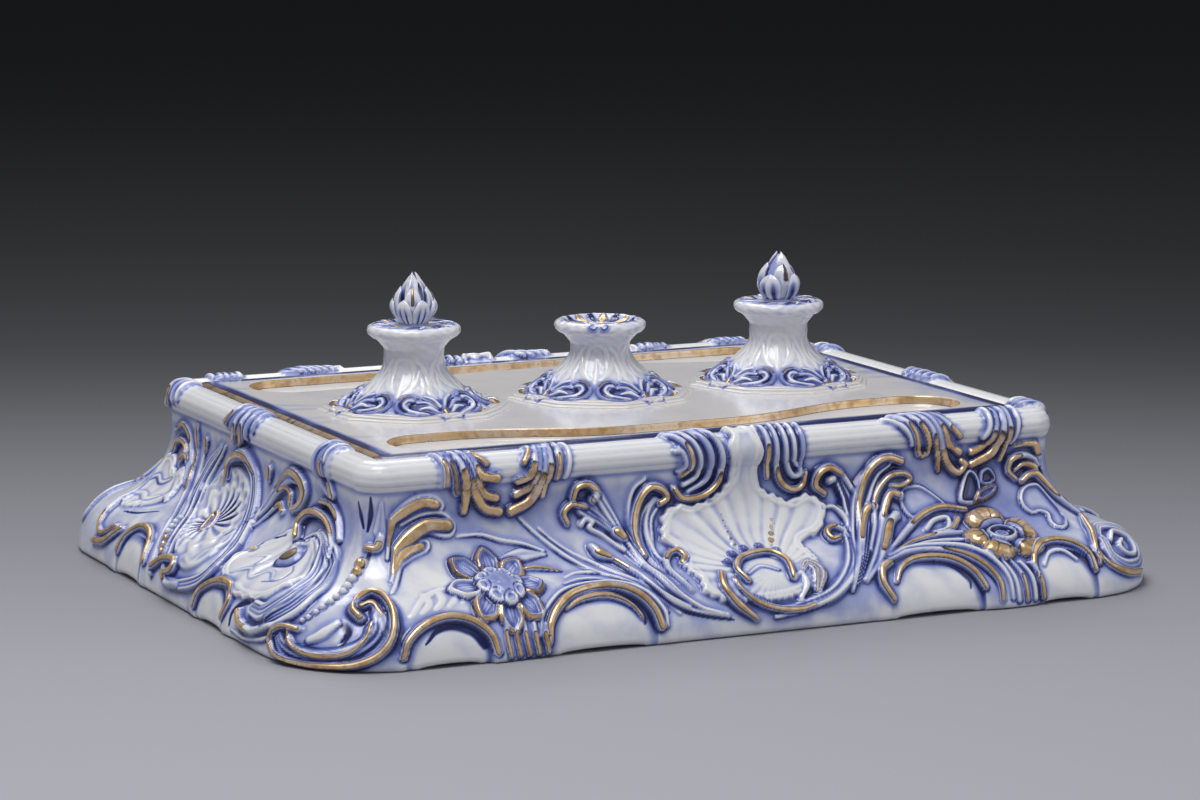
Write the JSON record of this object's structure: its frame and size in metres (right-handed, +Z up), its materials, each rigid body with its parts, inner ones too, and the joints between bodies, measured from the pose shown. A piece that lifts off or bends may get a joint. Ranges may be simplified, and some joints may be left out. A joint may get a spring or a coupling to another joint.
{
  "type": "desk inkstand",
  "caption": "Rectangular porcelain desk inkstand with scalloped ogee skirt, reeded rim, pen troughs, and lift-out ink and sand cups under bell covers with flame finials.",
  "frame": {"origin": "centre of the footprint, on the surface that the feet stand on", "axes": "+X along the length, to the right seen from the front; +Y to the back; +Z up"},
  "size_m": [0.365, 0.294, 0.1197],
  "materials": {
    "blue_washed_porcelain": "glossy glaze, cobalt wash pooled in the relief, gilded highlights",
    "white_glazed_porcelain": "glossy white glaze with a little cobalt at the edges",
    "reeded_porcelain": "glossy glaze, pale grey blue in the grooves"
  },
  "bodies": {
    "stand": {"deck": "white_glazed_porcelain", "rim_moulding": "reeded_porcelain", "front_wall": "blue_washed_porcelain", "back_wall": "blue_washed_porcelain", "left_wall": "blue_washed_porcelain", "right_wall": "blue_washed_porcelain", "front_left_foot": "blue_washed_porcelain", "front_right_foot": "blue_washed_porcelain", "back_left_foot": "blue_washed_porcelain", "back_right_foot": "blue_washed_porcelain", "front_pen_trough": "white_glazed_porcelain", "rear_pen_trough": "white_glazed_porcelain", "left_well": "white_glazed_porcelain", "middle_well": "white_glazed_porcelain", "right_well": "white_glazed_porcelain"},
    "left_ink_cup": {"left_ink_cup": "white_glazed_porcelain"},
    "left_ink_cover": {"left_ink_cover": "blue_washed_porcelain", "left_finial": "blue_washed_porcelain"},
    "sand_cup": {"sand_cup": "white_glazed_porcelain"},
    "sander_cover": {"sander_cover": "blue_washed_porcelain"},
    "right_ink_cup": {"right_ink_cup": "white_glazed_porcelain"},
    "right_ink_cover": {"right_ink_cover": "blue_washed_porcelain", "right_finial": "blue_washed_porcelain"}
  },
  "joints": [
    {"name": "left_ink_cup_lift", "type": "slide", "parent": "stand", "child": "left_ink_cup", "axis": [0, 0, 1], "range_m": [0, 0.1]},
    {"name": "left_ink_cover_lift", "type": "slide", "parent": "left_ink_cup", "child": "left_ink_cover", "axis": [0, 0, 1], "range_m": [0, 0.06]},
    {"name": "sand_cup_lift", "type": "slide", "parent": "stand", "child": "sand_cup", "axis": [0, 0, 1], "range_m": [0, 0.1]},
    {"name": "sander_cover_lift", "type": "slide", "parent": "sand_cup", "child": "sander_cover", "axis": [0, 0, 1], "range_m": [0, 0.06]},
    {"name": "right_ink_cup_lift", "type": "slide", "parent": "stand", "child": "right_ink_cup", "axis": [0, 0, 1], "range_m": [0, 0.1]},
    {"name": "right_ink_cover_lift", "type": "slide", "parent": "right_ink_cup", "child": "right_ink_cover", "axis": [0, 0, 1], "range_m": [0, 0.06]}
  ]
}
